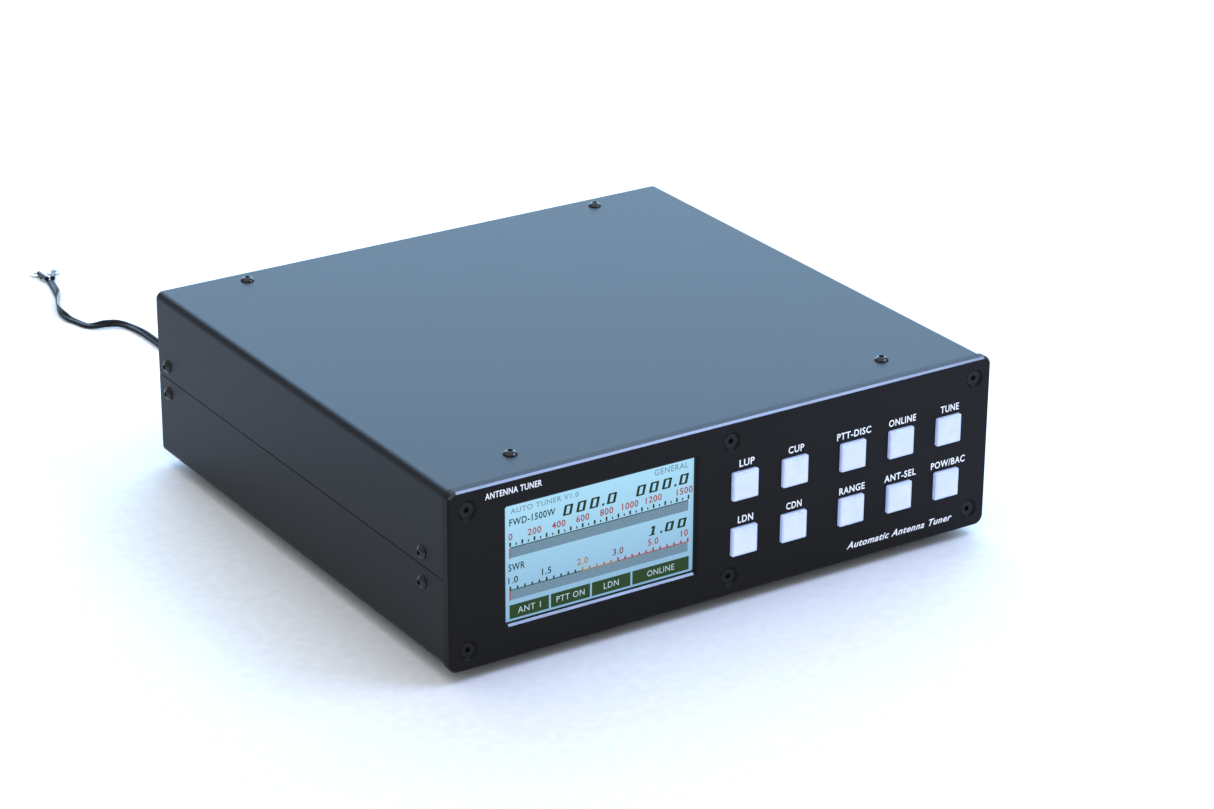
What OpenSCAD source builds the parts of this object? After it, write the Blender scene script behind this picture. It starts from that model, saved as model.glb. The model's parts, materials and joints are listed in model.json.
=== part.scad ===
// Automatic antenna tuner for an amateur radio station.
// Frame: +X to the right seen from the front, +Y to the rear, +Z up.
// Origin: bottom centre of the tuner, on the surface that its feet stand on.

/* [Case] */
// Width of the front panel
case_w = 320; // [310:1:340]
// Height of the front panel
case_h = 94; // [94:1:110]
// Depth from the front face to the rear edge of the covers
case_d = 305; // [300:1:340]
// Height of the feet below the front panel
foot_h = 6; // [4:0.5:12]
// How far the front panel stands out all round the covers
panel_margin = 0.9; // [0.5:0.1:1.5]
// Thickness of the two cover shells
cover_t = 2; // [1.5:0.1:2.5]
// Outer bend radius of the cover shells
cover_r = 4; // [3:0.5:4]
// Gap between the two cover shells along the sides
seam_gap = 0.5; // [0.2:0.1:1]

/* [Front panel] */
// Thickness of the front panel
panel_t = 5.5; // [5:0.1:7]
// Radius of the front panel's corners
panel_r = 5; // [3:0.5:6]
// Bevel round the front panel's face
panel_bevel = 1.1; // [0.5:0.1:1.5]
// Distance of the panel screws from the centre, sideways
screw_x = 149.5; // [148:0.5:150]
// Height of the lower panel screws above the panel's bottom edge
screw_low = 10.5; // [10:0.5:12]
// Height of the upper panel screws above the panel's bottom edge
screw_high = 83.3; // [80:0.1:84]

/* [Display] */
// Width of the window
window_w = 108.2; // [100:0.1:110]
// Height of the window
window_h = 61.4; // [55:0.1:63]
// Bevel round the window
window_bevel = 1.1; // [0.5:0.1:1.5]
// Sideways position of the window's centre
window_x = -74.3; // [-76:0.1:-74]
// Height of the window's centre above the panel's bottom edge
window_z = 48.9; // [48:0.1:50]
// Depth of the display's glass behind the face
glass_y = 3; // [2.5:0.1:4]

/* [Buttons] */
// Width of a square button cap
cap_w = 15; // [13:0.1:15.5]
// How far a cap stands out of the panel at rest
cap_out = 1.7; // [1.5:0.1:4]
// Clearance round a cap in its hole
cap_gap = 0.3; // [0.2:0.05:0.4]
// Travel of a button
cap_travel = 1.2; // [0.5:0.1:2]
// Height of the lower row of buttons above the panel's bottom edge
row_low = 29; // [28:1:32]
// Height of the upper row of buttons above the panel's bottom edge
row_high = 59; // [56:1:62]

/* [Rear] */
// Reach of the coaxial sockets behind the covers
rear_reach = 16.7; // [14:0.1:20]
// Thickness of the rear panel
rear_t = 3; // [2:0.5:4]
// Outside diameter of a coaxial socket's thread
thread_d = 15.88; // [15.6:0.01:16]

/* [Power cord] */
// Width of the twin lead
cord_w = 4.4; // [3:0.1:6]
// Diameter of the middle of the coil's turns
coil_d = 50; // [44:1:56]

/* [Hidden] */

$fn = 48;
eps = 0.01;
// Play round screws in their holes, and round what slides or drops into place
play = 0.1;
slip = 0.2;

// The front face's place, which centres the tuner front to back
front_y = -(case_d + rear_reach - cap_out) / 2;
mid_z = case_h / 2;

cover_w = case_w - 2 * panel_margin;
cover_h = case_h - 2 * panel_margin;
frame_w = cover_w - 2 * cover_t - 2 * slip;
frame_h = cover_h - 2 * cover_t - 2 * slip;
frame_t = 3;
frame_r = 3;
front_frame_end = 34;
rear_in = case_d - 0.5 - rear_t;
rear_out = case_d - 0.5;
rear_frame_start = 288;

// Cover screws: distances behind the front face, and places on the sides and the top
cover_screw_front = 26.5;
cover_screw_rear = 295;
side_screw_low = 38.5;
side_screw_high = 54;
top_screw_x = 110;

// M4 and M3 screws
m4_r = 2;
m3_r = 1.5;
button_head_r = 3.7;
button_head_h = 2.2;
sink_r = 5.3;
flat_head_r = 4.1;
flat_head_h = 2.1;
flat_head_y = 1.1;

foot_x = 125;
foot_front = 40;
foot_rear = 265;
foot_r = 10;

module_w = 120.7;
module_h = 75.8;
glass_w = 117;
glass_h = 69;
glass_t = 1.6;
module_back = glass_y + 3.6;
display_board_y = panel_t + 6;
button_board_y = panel_t + 10.5;
display_holes = [for (x = [-63.5, 63.5], z = [-28, 28]) [window_x + x, window_z + z]];
button_holes = [for (x = [23, 55.5, 118.5], z = [20, 68]) [x, z]];
pcb_t = 1.6;
standoff_r = 2.75;

// Button columns, left to right, and the node that stands in each place
button_cols = [8, 38, 73.5, 103.5, 133.5];
button_names = ["lup_button", "cup_button", "ptt_button", "online_button", "tune_button",
    "ldn_button", "cdn_button", "range_button", "antenna_button", "power_button"];
flange_t = 1;
stem_r = 2;
switch_w = 12;
switch_h = 5.5;
switch_y = button_board_y - switch_h;

plate_z = panel_margin + cover_t + slip + frame_t;
plate_t = 2;
board_z = plate_z + plate_t + 8;
board_top = board_z + pcb_t;
board_w = 280;
board_front = 60;
board_back = 284;
board_holes = [for (x = [-132, 0, 132], y = [70, 274]) [x, y]];

// Rear sockets: sideways places and heights
socket_z = 52;
rf_x = 20;
antenna_1_x = 68;
antenna_2_x = 116;
socket_cols = [rf_x, antenna_1_x, antenna_2_x];
socket_hole = 9.13;
phono_cols = [-75, -55];
phono_z = 52;
ground_x = -25;
ground_z = 24;
dc_x = -105;
dc_z = 20;
thread_tip = case_d + rear_reach;

// The cord, in the tuner's own frame
plug_reach = 39.5;
cord_exit = [dc_x, front_y + rear_out + plug_reach, foot_h + dc_z];
coil_x = -60;
coil_y = 242;
coil_w = 10.6;
coil_h = 9.4;
near_route = [cord_exit, [-105, 189, 26], [-105, 197, 24], [-105, 204, 19.5], [-103, 211, 13.5],
    [-99, 219, 7.5], [-94, 226, 3.6], [-90, 234, 2.4], [-88.5, 242, 2.2]];
far_route = [[-88.5, 242, 6.8], [-88.5, 250, 6.6], [-88, 258, 5.4], [-88, 267, 3.8], [-88, 277, 2.6],
    [-88, 288, 2.2], [-88, 300, 2.2], [-88, 312, 2.2], [-88.5, 321, 2.2], [-90, 330, 2.2],
    [-94, 336, 2.2], [-100, 339, 2.2], [-106, 341, 2.2], [-110.5, 346, 2.2], [-112.5, 353, 2.2],
    [-115, 361, 2.2], [-115.5, 369, 2.2], [-113.5, 378, 2.2], [-109.5, 388, 2.2],
    [-105, 398, 2.2], [-101.5, 409, 2.2], [-98, 424, 2.2]];

// ---- shared shapes ----

// From the case's own lower front edge to the tuner's frame
module in_case() {
    translate([0, front_y, foot_h]) children();
}

// A flat outline in X and Z, extruded from y0 to y1
module along_y(y0, y1) {
    translate([0, y1, 0]) rotate([90, 0, 0]) linear_extrude(y1 - y0) children();
}

// A bar along Y with its middle at x, z
module rod(x, y0, y1, z, r, tip = -1) {
    translate([x, y0, z]) rotate([-90, 0, 0])
        cylinder(h = y1 - y0, r1 = r, r2 = tip < 0 ? r : tip);
}

module round_rect(w, h, r) {
    square([w - 2 * r, h], center = true);
    square([w, h - 2 * r], center = true);
    for (x = [-1, 1], z = [-1, 1])
        translate([x * (w / 2 - r), z * (h / 2 - r)]) circle(r = r);
}

// A layer of a rounded block whose size changes by grow at y = 0
module taper_layer(w, h, r, grow, depth) {
    linear_extrude(h - 2 * r, center = true)
        polygon([[-w / 2 - grow, 0], [w / 2 + grow, 0], [w / 2, depth], [-w / 2, depth]]);
    rotate([0, -90, 0]) linear_extrude(w - 2 * r, center = true)
        polygon([[-h / 2 - grow, 0], [h / 2 + grow, 0], [h / 2, depth], [-h / 2, depth]]);
    for (x = [-1, 1], z = [-1, 1])
        translate([x * (w / 2 - r), 0, z * (h / 2 - r)]) rotate([-90, 0, 0])
            cylinder(h = depth, r1 = r + grow, r2 = r);
}

module block(x0, x1, y0, y1, z0, z1) {
    translate([x0, y0, z0]) cube([x1 - x0, y1 - y0, z1 - z0]);
}

// Positions of the six panel screws, the same in front and behind
module at_panel_screws() {
    for (x = [-screw_x, 0, screw_x], z = [screw_low, screw_high])
        translate([x, 0, z]) children();
}

// A screw with a domed head: its seat is at z = 0 and the head points along +Z
module button_head_screw(r, length, head_r, head_h, key) {
    difference() {
        union() {
            translate([0, 0, -length]) cylinder(h = length, r = r);
            intersection() {
                cylinder(h = head_h, r = head_r);
                translate([0, 0, head_h - head_r * 1.25]) sphere(r = head_r * 1.25);
            }
        }
        translate([0, 0, head_h * 0.35]) cylinder(h = head_h, r = key, $fn = 6);
    }
}

module at_side_screws() {
    for (s = [-1, 1], y = [cover_screw_front, cover_screw_rear], z = [side_screw_low, side_screw_high])
        translate([s * cover_w / 2, y, z]) rotate([0, s * 90, 0]) children();
}

module at_top_screws() {
    for (x = [-top_screw_x, top_screw_x], y = [cover_screw_front, cover_screw_rear])
        translate([x, y, case_h - panel_margin]) children();
}

module at_bottom_screws() {
    for (x = [-top_screw_x, top_screw_x], y = [cover_screw_front, cover_screw_rear])
        translate([x, y, panel_margin]) rotate([180, 0, 0]) children();
}

// The holes that the cover screws need, r wide and depth deep
module cover_screw_holes(r, depth) {
    at_side_screws() translate([0, 0, -depth]) cylinder(h = depth + 1, r = r);
    at_top_screws() translate([0, 0, -depth]) cylinder(h = depth + 1, r = r);
    at_bottom_screws() translate([0, 0, -depth]) cylinder(h = depth + 1, r = r);
}

// ---- tubes along a path ----

function unit(v) = v / norm(v);
function path_dir(p, i) = unit(p[min(i + 1, len(p) - 1)] - p[max(i - 1, 0)]);
function tube_ring(c, t, up, r, n) =
    let (side = unit(cross(t, up)), top = cross(side, t))
    [for (k = [0:n - 1]) c + r * (cos(360 * k / n) * side + sin(360 * k / n) * top)];

module tube(path, ups, r, n) {
    last = len(path) - 1;
    points = [for (i = [0:last]) each tube_ring(path[i], path_dir(path, i), ups[i], r, n)];
    sides = [for (i = [0:last - 1], k = [0:n - 1])
        let (a = i * n + k, b = i * n + (k + 1) % n) each [[a, b, b + n], [a, b + n, a + n]]];
    start = [for (k = [0:n - 1]) n - 1 - k];
    end = [for (k = [0:n - 1]) last * n + k];
    polyhedron(points = points, faces = concat(sides, [start, end]));
}

// A smooth curve through the route's points
function curve_at(a, b, c, d, t) =
    0.5 * (2 * b + t * (c - a) + t * t * (2 * a - 5 * b + 4 * c - d)
        + t * t * t * (3 * b - a - 3 * c + d));
function smooth(p, steps) = let (n = len(p) - 1)
    [for (i = [0:n - 1], s = [0:steps - 1])
        curve_at(p[max(i - 1, 0)], p[i], p[i + 1], p[min(i + 2, n)], s / steps), p[n]];

module lead(route, steps) {
    path = smooth(route, steps);
    tube(path, [for (p = path) [0, 0, 1]], cord_w / 2, 8);
}

// ---- case ----

module front_panel() {
    color("#242426") in_case() difference() {
        translate([0, 0, mid_z]) {
            taper_layer(case_w, case_h, panel_r, -panel_bevel, panel_bevel);
            along_y(panel_bevel, panel_t) round_rect(case_w, case_h, panel_r);
        }
        translate([window_x, 0, window_z]) {
            translate([0, -eps, 0])
                taper_layer(window_w, window_h, 1, window_bevel, window_bevel);
            along_y(window_bevel / 2, panel_t) round_rect(window_w, window_h, 1);
            along_y(glass_y, panel_t + 1)
                square([module_w + 2 * slip, module_h + 2 * slip], center = true);
        }
        for (x = button_cols, z = [row_low, row_high])
            translate([x, 0, z]) along_y(-1, panel_t + 1)
                round_rect(cap_w + 2 * cap_gap, cap_w + 2 * cap_gap, 1);
        at_panel_screws() {
            rod(0, -eps, sink_r - m4_r - slip, 0, sink_r, m4_r + slip);
            rod(0, 0, panel_t + 1, 0, m4_r + slip);
        }
    }
}

// A rectangular ring behind a panel, with six tapped blocks for its screws
module ring_frame(y0, y1, block_y0, block_y1) {
    difference() {
        union() {
            translate([0, 0, mid_z]) along_y(y0, y1) difference() {
                round_rect(frame_w, frame_h, frame_r);
                square([frame_w - 2 * frame_t, frame_h - 2 * frame_t], center = true);
            }
            inner_z = frame_h / 2 - frame_t + eps;
            for (x = [-screw_x, 0, screw_x], s = [-1, 1])
                block(x == 0 ? -6 : min(x - 5, x + 5), x == 0 ? 6 : max(x - 5, x + 5), block_y0, block_y1,
                    s < 0 ? mid_z - inner_z - 1 : screw_high - 5,
                    s < 0 ? screw_low + 5 : mid_z + inner_z + 1);
        }
        at_panel_screws() rod(0, block_y0 - 1, block_y1 + 1, 0, m4_r + play);
        cover_screw_holes(m4_r + play, 12);
    }
}

module front_frame() {
    color("#8f9296") in_case() difference() {
        ring_frame(panel_t, front_frame_end, panel_t, 17);
        for (x = [-foot_x, foot_x])
            translate([x, foot_front, 0]) cylinder(h = 20, r = 8);
    }
}

module rear_frame() {
    color("#8f9296") in_case() ring_frame(rear_frame_start, rear_in, 290, rear_in);
}

module rear_panel() {
    color("#262729") in_case() difference() {
        translate([0, 0, mid_z]) along_y(rear_in, rear_out) round_rect(frame_w, frame_h, frame_r);
        at_panel_screws() rod(0, rear_in - 1, rear_out + 1, 0, m4_r + slip);
        for (x = socket_cols) {
            rod(x, rear_in - 1, rear_out + 1, socket_z, 6.6);
            for (i = [-1, 1], j = [-1, 1])
                rod(x + i * socket_hole, rear_in - 1, rear_out + 1, socket_z + j * socket_hole, m3_r + play);
        }
        for (x = phono_cols) rod(x, rear_in - 1, rear_out + 1, phono_z, 3 + play);
        rod(ground_x, rear_in - 1, rear_out + 1, ground_z, 3 + play);
        rod(dc_x, rear_in - 1, rear_out + 1, dc_z, 5.5 + play);
    }
}

// One folded half of the casing: side is 1 for the upper half and -1 for the lower
module half_shell(side) {
    difference() {
        translate([0, 0, mid_z]) along_y(panel_t, case_d) intersection() {
            difference() {
                round_rect(cover_w, cover_h, cover_r);
                round_rect(cover_w - 2 * cover_t, cover_h - 2 * cover_t, cover_r - cover_t);
            }
            translate([0, side * (case_h / 2 + seam_gap / 2)]) square([case_w, case_h], center = true);
        }
        cover_screw_holes(m4_r + slip, 6);
    }
}

module top_cover() {
    color("#4f6478") in_case() half_shell(1);
}

module bottom_cover() {
    color("#3b4653") in_case() difference() {
        half_shell(-1);
        for (x = [-foot_x, foot_x], y = [foot_front, foot_rear])
            translate([x, y, -1]) cylinder(h = 6, r = m3_r + play);
    }
}

module chassis_plate() {
    color("#b4b7ba") in_case() difference() {
        block(-140, 140, 22, 297, plate_z, plate_z + plate_t);
        block(-7, 7, 289, 298, plate_z - 1, plate_z + plate_t + 1);
        for (x = [-top_screw_x, top_screw_x], y = [cover_screw_front, cover_screw_rear])
            translate([x, y, 0]) cylinder(h = 20, r = m4_r + play);
        for (p = board_holes) translate([p[0], p[1], 0]) cylinder(h = 20, r = m3_r + play);
        for (x = [-foot_x, foot_x], y = [foot_front, foot_rear])
            translate([x, y, 0]) cylinder(h = 20, r = 5);
    }
}

// ---- fasteners and feet ----

module panel_screws() {
    color("#1c1c1e") in_case() at_panel_screws() difference() {
        union() {
            rod(0, flat_head_y, flat_head_y + flat_head_h, 0, flat_head_r, m4_r);
            rod(0, flat_head_y + flat_head_h - eps, 16, 0, m4_r);
        }
        translate([0, flat_head_y - eps, 0]) rotate([-90, 0, 0]) cylinder(h = 1.6, r = 1.5, $fn = 6);
    }
}

module rear_screws() {
    color("#1c1c1e") in_case() at_panel_screws() translate([0, rear_out, 0])
        rotate([-90, 0, 0]) button_head_screw(m4_r, 10, button_head_r, button_head_h, 1.5);
}

module side_screws() {
    color("#18181a") in_case() at_side_screws()
        button_head_screw(m4_r, 6, button_head_r, button_head_h, 1.5);
}

module top_screws() {
    color("#18181a") in_case() at_top_screws()
        button_head_screw(m4_r, 6, button_head_r, button_head_h, 1.5);
}

module bottom_screws() {
    color("#18181a") in_case() at_bottom_screws()
        button_head_screw(m4_r, 8, button_head_r, button_head_h, 1.5);
}

module at_feet() {
    for (x = [-foot_x, foot_x], y = [foot_front, foot_rear]) translate([x, y, -foot_h]) children();
}

module feet() {
    color("#151515") in_case() at_feet() difference() {
        cylinder(h = foot_h + panel_margin, r1 = foot_r - 1, r2 = foot_r);
        translate([0, 0, -1]) cylinder(h = 4, r = 3.6);
        cylinder(h = 20, r = m3_r + play);
    }
}

module foot_screws() {
    color("#a9abad") in_case() at_feet() difference() {
        union() {
            translate([0, 0, 1.2]) cylinder(h = 1.8, r = 3);
            translate([0, 0, 3 - eps]) cylinder(h = 8, r = m3_r);
        }
        translate([0, 0, 1]) cylinder(h = 1, r = 1.15, $fn = 6);
    }
}

// ---- display and buttons ----

module display_frame() {
    color("#c3c6c8") in_case() translate([window_x, 0, window_z]) difference() {
        along_y(glass_y, module_back) square([module_w, module_h], center = true);
        along_y(glass_y - 1, module_back - 0.4)
            square([glass_w + 2 * play, glass_h + 2 * play], center = true);
    }
}

module display_glass() {
    color("#b9cfdd") in_case() translate([window_x, 0, window_z])
        along_y(glass_y + 0.05, glass_y + glass_t) square([glass_w, glass_h], center = true);
}

module display_backlight() {
    color("#f2f4f0") in_case() translate([window_x, 0, window_z])
        along_y(glass_y + glass_t, module_back - 0.4) square([glass_w, glass_h], center = true);
}

// The holes of a board that stands behind the panel, along Y
module board_screw_holes(places, y) {
    for (p = places) rod(p[0], y - 1, y + 3, p[1], m3_r + play);
}

module display_board() {
    color("#1f5a36") in_case() difference() {
        translate([window_x, 0, window_z])
            along_y(display_board_y, display_board_y + pcb_t) square([134, 66], center = true);
        board_screw_holes(display_holes, display_board_y);
    }
}

module button_board() {
    color("#1f5a36") in_case() difference() {
        block(-2, 144, button_board_y, button_board_y + pcb_t, 17, 73);
        board_screw_holes(button_holes, button_board_y);
    }
}

module button_switches() {
    color("#2b2b2d") in_case() for (x = button_cols, z = [row_low, row_high])
        translate([x, 0, z]) difference() {
            along_y(switch_y, button_board_y) round_rect(switch_w, switch_w, 1);
            rod(0, switch_y - 1, button_board_y - 0.6, 0, stem_r + play);
        }
}

// A square cap with its retaining flange behind the panel and its stem in the switch
module push_button(i) {
    color("#e8f0fa") in_case()
        translate([button_cols[i % 5], 0, i < 5 ? row_high : row_low]) {
            translate([0, -cap_out, 0]) taper_layer(cap_w, cap_w, 0.8, -0.4, 0.4);
            along_y(0.4 - cap_out, panel_t + slip + eps) round_rect(cap_w, cap_w, 0.8);
            along_y(panel_t + slip, panel_t + slip + flange_t)
                round_rect(cap_w + 2.4, cap_w + 2.4, 1);
            rod(0, panel_t + slip + flange_t - eps, button_board_y - cap_travel - 1, 0, stem_r);
        }
}

// ---- boards and what they carry ----

module main_board() {
    color("#1f5a36") in_case() difference() {
        block(-board_w / 2, board_w / 2, board_front, board_back, board_z, board_top);
        for (p = board_holes) translate([p[0], p[1], 0]) cylinder(h = 40, r = m3_r + play);
    }
}

// Tapped standoffs, under the main board and behind the front panel
module standoffs() {
    color("#c8a951") in_case() {
        for (p = board_holes) translate([p[0], p[1], plate_z + plate_t]) difference() {
            cylinder(h = board_z - plate_z - plate_t, r = standoff_r);
            translate([0, 0, 1]) cylinder(h = 20, r = m3_r + play);
        }
        for (p = display_holes) difference() {
            rod(p[0], panel_t, display_board_y, p[1], standoff_r);
            rod(p[0], panel_t + 1, display_board_y + 1, p[1], m3_r + play);
        }
        for (p = button_holes) difference() {
            rod(p[0], panel_t, button_board_y, p[1], standoff_r);
            rod(p[0], panel_t + 1, button_board_y + 1, p[1], m3_r + play);
        }
    }
}

module board_screws() {
    color("#a9abad") in_case() {
        for (p = board_holes) translate([p[0], p[1], board_top])
            button_head_screw(m3_r, 6, 2.8, 1.7, 1.1);
        for (p = display_holes) translate([p[0], display_board_y + pcb_t, p[1]])
            rotate([-90, 0, 0]) button_head_screw(m3_r, 5, 2.8, 1.7, 1.1);
        for (p = button_holes) translate([p[0], button_board_y + pcb_t, p[1]])
            rotate([-90, 0, 0]) button_head_screw(m3_r, 5, 2.8, 1.7, 1.1);
    }
}

module relays() {
    color("#33506f") in_case() for (i = [0:8], j = [0, 1])
        block(i * 28 - 125, i * 28 - 97 - 8, 88 + j * 36, 117 + j * 36, board_top, board_top + 16);
}

// Toroid cores lie flat between nylon discs above the board
core_places = [[-95, 205], [-25, 205], [45, 205]];
core_r = 20;
core_half = 4;
core_h = 12;
core_z = board_top + 16;

module core_mounts() {
    color("#e8e4d6") in_case() for (p = core_places) translate([p[0], p[1], board_top]) {
        cylinder(h = 5, r = 22);
        translate([0, 0, 5 - eps]) cylinder(h = 22, r = 6);
        translate([0, 0, 27 - eps]) cylinder(h = 2, r = 14);
    }
}

module toroid_cores() {
    color("#a8372b") in_case() for (p = core_places) translate([p[0], p[1], core_z])
        difference() {
            cylinder(h = core_h, r = core_r + core_half, center = true);
            cylinder(h = core_h + 2, r = core_r - core_half, center = true);
        }
}

// A wire wound round five sixths of a core
winding_turns = 12;
wire_r = 0.9;
function wound(a, turn) = let (b = a * turn * 360)
    [(core_r + 8.4 * cos(b)) * cos(a * 300), (core_r + 8.4 * cos(b)) * sin(a * 300), 9.6 * sin(b)];
function wound_up(a, turn) = let (b = a * turn * 360)
    [cos(b) * cos(a * 300), cos(b) * sin(a * 300), sin(b)];

module toroid_windings() {
    steps = winding_turns * 10;
    color("#b5703a") in_case() for (p = core_places) translate([p[0], p[1], core_z])
        tube([for (i = [0:steps]) wound(i / steps, winding_turns)],
            [for (i = [0:steps]) wound_up(i / steps, winding_turns)], wire_r, 5);
}

module air_coil() {
    turns = 8;
    steps = turns * 16;
    color("#c98a52") in_case() translate([112, 180, board_top + 19.6])
        tube([for (i = [0:steps]) [18 * cos(i * 22.5), i * 50 / steps, 18 * sin(i * 22.5)]],
            [for (i = [0:steps]) [cos(i * 22.5), 0, sin(i * 22.5)]], 1.5, 6);
}

module capacitors() {
    color("#c46a1e") in_case() for (i = [0:7])
        translate([i * 30 - 110, 168, board_top + 8]) rotate([90, 0, 0]) cylinder(h = 5, r = 8);
}

module bridge_core() {
    color("#3a3a3c") in_case() translate([rf_x, 266, board_top + 11]) rotate([90, 0, 0])
        difference() {
            cylinder(h = 8, r = 11, center = true);
            cylinder(h = 10, r = 5.5, center = true);
        }
}

module bridge_shield() {
    half = 16;
    color("#c3c6c8") in_case() difference() {
        block(rf_x - half, rf_x + half, 250, 282, board_top, board_top + 32);
        block(rf_x - half + 1, rf_x + half - 1, 251, 281, board_top - 1, board_top + 31);
        rod(rf_x, 240, 290, board_top + 11, 4);
    }
}

module control_chip() {
    color("#1b1b1c") in_case() translate([window_x + 10, 0, window_z])
        along_y(display_board_y + pcb_t, display_board_y + pcb_t + 1.6) square([14, 14], center = true);
}

// A flat cable from the display's board down to the main board
module ribbon_cable() {
    color("#9da1a5") in_case() translate([window_x + 42, 0, 0]) rotate([90, 0, 90])
        linear_extrude(25, center = true)
            polygon([[display_board_y + pcb_t, 58], [40, 58], [76, 36], [76, board_top], [77, board_top],
                [77, 36.5], [40.4, 59], [display_board_y + pcb_t, 59]]);
}

// ---- rear connectors ----

// Threaded barrel on a square flange, with a collar behind the panel
module coax_shell(x) {
    color("#c9ccce") in_case() translate([x, 0, socket_z]) difference() {
        union() {
            along_y(rear_out, rear_out + 1.6) round_rect(25.4, 25.4, 1.5);
            rod(0, rear_out, thread_tip - 0.8, 0, thread_d / 2);
            rod(0, thread_tip - 0.8 - eps, thread_tip, 0, thread_d / 2, thread_d / 2 - 0.8);
            rod(0, rear_in - 3, rear_out + 1, 0, 6.5);
        }
        rod(0, rear_in - 4, rear_out + 2, 0, 4.6);
        rod(0, rear_out + 1.9, thread_tip + 1, 0, 6.3);
        for (i = [-1, 1], j = [-1, 1])
            rod(i * socket_hole, rear_out - 1, rear_out + 3, j * socket_hole, m3_r + play);
    }
}

module rf_input_socket() {
    coax_shell(rf_x);
}

module antenna_1_socket() {
    coax_shell(antenna_1_x);
}

module antenna_2_socket() {
    coax_shell(antenna_2_x);
}

module socket_insulators() {
    color("#efeee8") in_case() for (x = socket_cols) difference() {
        union() {
            rod(x, rear_in - 6, rear_out + 2, socket_z, 4.5);
            rod(x, rear_out + 2 - eps, rear_out + 8, socket_z, 6.2);
        }
        rod(x, rear_in - 7, rear_out + 9, socket_z, 2.95);
    }
}

module socket_contacts() {
    color("#d2b04c") in_case() for (x = socket_cols) difference() {
        rod(x, rear_in - 12, thread_tip - 1.5, socket_z, 2.85);
        rod(x, rear_out + 4, thread_tip, socket_z, 2.05);
        rod(x, rear_in - 13, rear_in - 7, socket_z, 1.5);
    }
}

module socket_screws() {
    color("#a9abad") in_case() for (x = socket_cols, i = [-1, 1], j = [-1, 1])
        translate([x + i * socket_hole, rear_out + 1.6, socket_z + j * socket_hole]) rotate([-90, 0, 0])
            button_head_screw(m3_r, 8, 2.8, 1.7, 1.1);
}

// Two phono sockets: a sleeve on a hexagon, with a bush for the centre pin
module phono_sockets() {
    color("#cfc9a8") in_case() for (x = phono_cols) difference() {
        union() {
            translate([x, rear_out, phono_z]) rotate([-90, 0, 0]) cylinder(h = 2.5, r = 6, $fn = 6);
            rod(x, rear_out + 2, rear_out + 11, phono_z, 4.15);
            rod(x, rear_in - 5, rear_out + 1, phono_z, 3);
        }
        rod(x, rear_out + 3, rear_out + 12, phono_z, 1.6);
    }
}

module ground_stud() {
    color("#c9ccce") in_case() {
        rod(ground_x, rear_in - 4, rear_out + 16, ground_z, 3);
        translate([ground_x, rear_in - 5, ground_z]) rotate([-90, 0, 0])
            cylinder(h = 5, r = 5.7, $fn = 6);
    }
}

module ground_nut() {
    color("#c9ccce") in_case() translate([ground_x, rear_out, ground_z]) rotate([-90, 0, 0])
        difference() {
            union() {
                cylinder(h = 1, r = 6.5);
                translate([0, 0, 1 - eps]) cylinder(h = 3.2, r = 5.7, $fn = 6);
            }
            translate([0, 0, -1]) cylinder(h = 10, r = 3 + play);
        }
}

module wing_nut() {
    color("#d0d2d4") in_case() translate([ground_x, rear_out + 4.7, ground_z]) difference() {
        union() {
            rod(0, 0, 6.5, 0, 5.6, 4.6);
            for (s = [-1, 1]) translate([0, 0, -0.9]) linear_extrude(1.8) {
                polygon([[s * 3.6, 0.4], [s * 5, 0.4], [s * 11.5, 5], [s * 7.5, 8.6], [s * 3.6, 5.4]]);
                translate([s * 10, 7.6]) circle(r = 2.9);
            }
        }
        rod(0, -1, 12, 0, 3.08);
    }
}

module dc_jack() {
    color("#1d1d1f") in_case() difference() {
        union() {
            rod(dc_x, rear_out, rear_out + 2.2, dc_z, 7);
            rod(dc_x, rear_in - 12, rear_out + 1, dc_z, 5.5);
        }
        rod(dc_x, rear_in - 8, rear_out + 3, dc_z, 2.95);
    }
}

// Moulded plug: barrel, grip with rings, and a tapering strain relief
module dc_plug() {
    color("#161617") in_case() {
        rod(dc_x, rear_out - 7, rear_out + 3, dc_z, 2.75);
        rod(dc_x, rear_out + 2.4, rear_out + 20, dc_z, 5);
        for (i = [0:3]) rod(dc_x, rear_out + 5 + i * 3.6, rear_out + 6.6 + i * 3.6, dc_z, 5.4);
        rod(dc_x, rear_out + 20 - eps, rear_out + plug_reach, dc_z, 4, 2.5);
    }
}

// ---- power cord ----

module cord_near() {
    color("#1b1b1c") lead(near_route, 3);
}

module cord_coil() {
    color("#1b1b1c") translate([coil_x, coil_y, 0]) rotate_extrude()
        translate([coil_d / 2 - coil_w / 2, 0]) square([coil_w, coil_h]);
}

// A twisted tie round the coil on its right side
module cord_tie() {
    color("#2a2a2c") translate([coil_x + coil_d / 2, coil_y, 0]) difference() {
        translate([-coil_w / 2 - 0.9, -2, 0]) cube([coil_w + 1.8, 4, coil_h + 0.9]);
        translate([-coil_w / 2 - 0.15, -3, -1]) cube([coil_w + 0.3, 6, coil_h + 1]);
    }
}

module cord_far() {
    color("#1b1b1c") lead(far_route, 3);
}

// Two insulated ring terminals on the split end of the lead
module cord_terminals() {
    last = far_route[len(far_route) - 1];
    color("#7c2f2c") translate(last) rotate([0, 0, -13]) for (s = [-1, 1])
        translate([s * 1.6, 0, 0]) rotate([0, 0, -s * 14]) {
            rod(0, 0.5, 12, 0.2, 1.5);
            difference() {
                translate([0, 15.4, -1.9]) cylinder(h = 0.8, r = 4);
                translate([0, 15.4, -3]) cylinder(h = 4, r = 2.1);
            }
            block(-1.3, 1.3, 8, 12.2, -1.9, -1.1);
        }
}

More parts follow.
